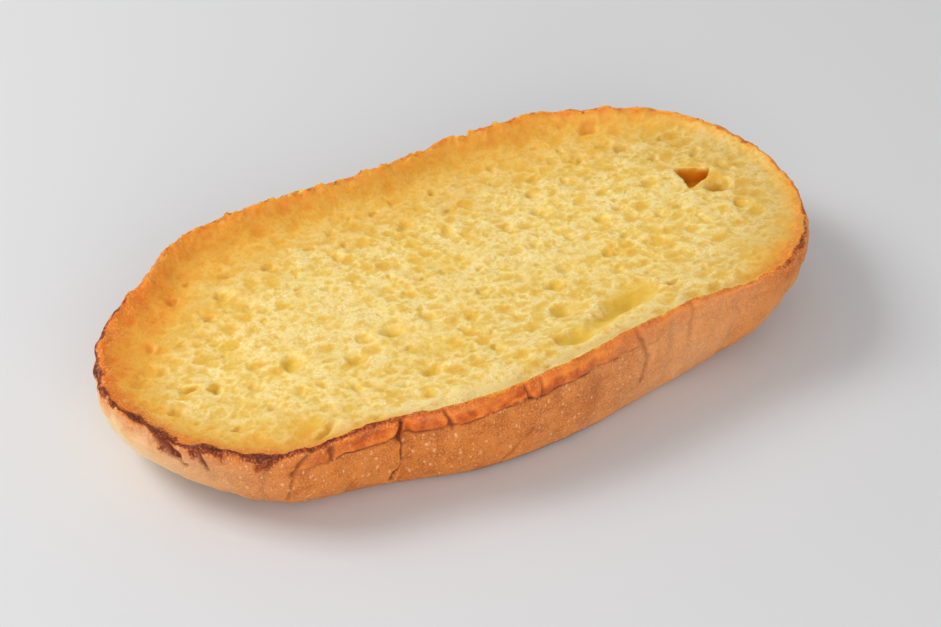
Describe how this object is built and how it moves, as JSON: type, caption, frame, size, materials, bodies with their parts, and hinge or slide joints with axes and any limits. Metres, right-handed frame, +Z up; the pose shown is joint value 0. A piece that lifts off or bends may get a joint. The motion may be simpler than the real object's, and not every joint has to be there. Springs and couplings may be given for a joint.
{
  "type": "french toast",
  "caption": "Lower half of an oval loaf, cut lengthwise, soaked and browned: a dished, porous yellow crumb inside a torn, toasted rim, on a golden crust with a flat base.",
  "frame": {"origin": "the base plane, below the middle of the length and width", "axes": "+X along the loaf, -Y the side that faces the viewer, +Z up out of the cut face"},
  "size_m": [0.2222, 0.1136, 0.0327],
  "materials": {
    "toast": "moist, custard-soaked yellow crumb, toasted orange at the rim with a thin burnt line, over a satin golden-brown bread crust"
  },
  "bodies": {
    "root": {"french_toast": "toast"}
  },
  "joints": []
}
